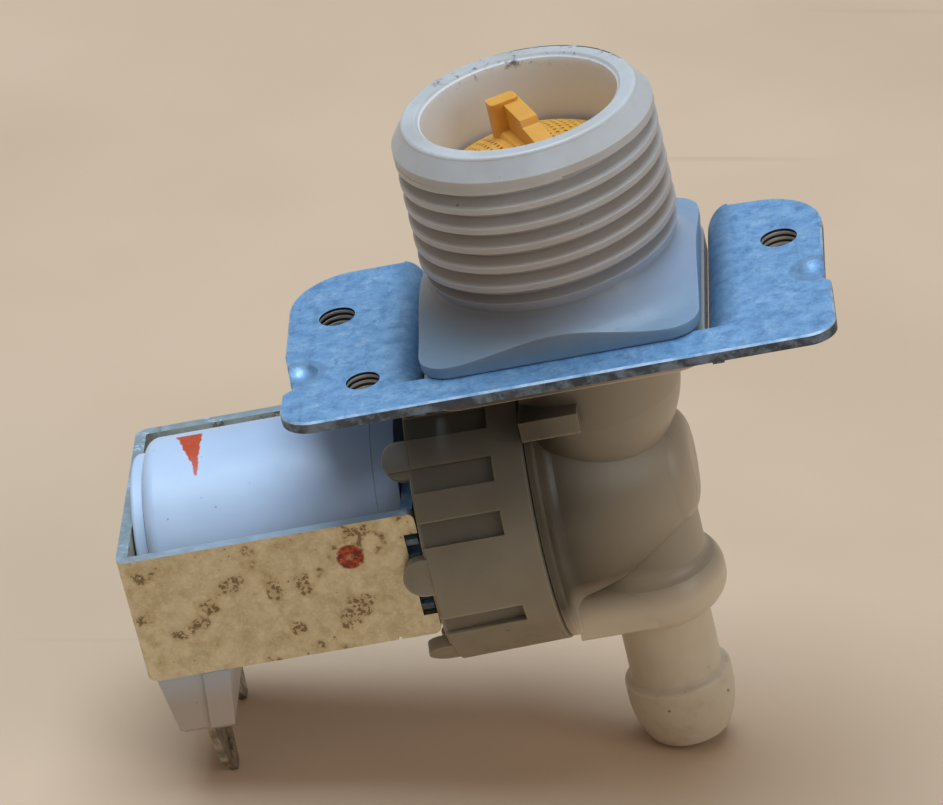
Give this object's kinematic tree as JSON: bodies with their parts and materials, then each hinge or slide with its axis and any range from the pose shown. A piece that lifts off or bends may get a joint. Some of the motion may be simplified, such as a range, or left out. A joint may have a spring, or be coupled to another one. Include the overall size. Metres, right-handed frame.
{
  "type": "water inlet solenoid valve",
  "caption": "Single-inlet electric water valve with a threaded hose inlet and screen, sheet bracket, yoked coil with spade terminals, and a barbed outlet.",
  "frame": {"origin": "on the inlet thread's axis, in the top face of the bracket", "axes": "+Z along the inlet axis, out of the inlet; -X towards the coil's closed end; the barb points to -Z"},
  "size_m": [0.077, 0.0343, 0.0753],
  "materials": {
    "nylon_white": "satin, slightly translucent",
    "nylon_collar": "satin, slightly translucent",
    "coil_white": "gloss",
    "screen_yellow": "satin, slightly translucent",
    "zinc_steel": "zinc plated, mottled",
    "yoke_steel": "zinc plated, worn",
    "stainless": "turned",
    "brass_tin": "tinned",
    "copper_wire": "enamelled wire",
    "tape": "film",
    "rubber_black": "matt"
  },
  "bodies": {
    "valve": {"diaphragm": "rubber_black", "flow_washer": "rubber_black", "guide_tube": "nylon_collar", "locking_collar": "nylon_collar", "mounting_bracket": "zinc_steel", "plunger_spring": "stainless", "valve_body": "nylon_white", "washer_ring": "nylon_white"},
    "screen": {"inlet_screen": "screen_yellow"},
    "plunger": {"plunger": "stainless", "plunger_seal": "rubber_black"},
    "diaphragm": {"diaphragm_insert": "nylon_collar"},
    "coil": {"yoke_frame": "yoke_steel", "pole_plate": "yoke_steel", "coil_bobbin": "coil_white", "coil_winding": "copper_wire", "winding_tape": "tape", "coil_overmould": "coil_white", "flux_sleeves": "zinc_steel", "spade_terminals": "brass_tin"}
  },
  "joints": [
    {"name": "plunger_slide", "type": "slide", "parent": "valve", "child": "plunger", "axis": [-1, 0, 0], "range_m": [0, 0.0026], "stiffness_N_per_m": 120, "springref_m": -0.002, "deforming": ["plunger_spring"]},
    {"name": "diaphragm_lift", "type": "slide", "parent": "valve", "child": "diaphragm", "axis": [-1, 0, 0], "range_m": [0, 0.00195], "deforming": ["diaphragm"]},
    {"name": "screen_pull", "type": "slide", "parent": "valve", "child": "screen", "axis": [0, 0, 1], "range_m": [0, 0.03]},
    {"name": "coil_pull", "type": "slide", "parent": "valve", "child": "coil", "axis": [-1, 0, 0], "range_m": [0, 0.032]}
  ],
  "couplings": [
    {"joint": "diaphragm_lift", "follows": "plunger_slide", "ratio": 0.75}
  ]
}
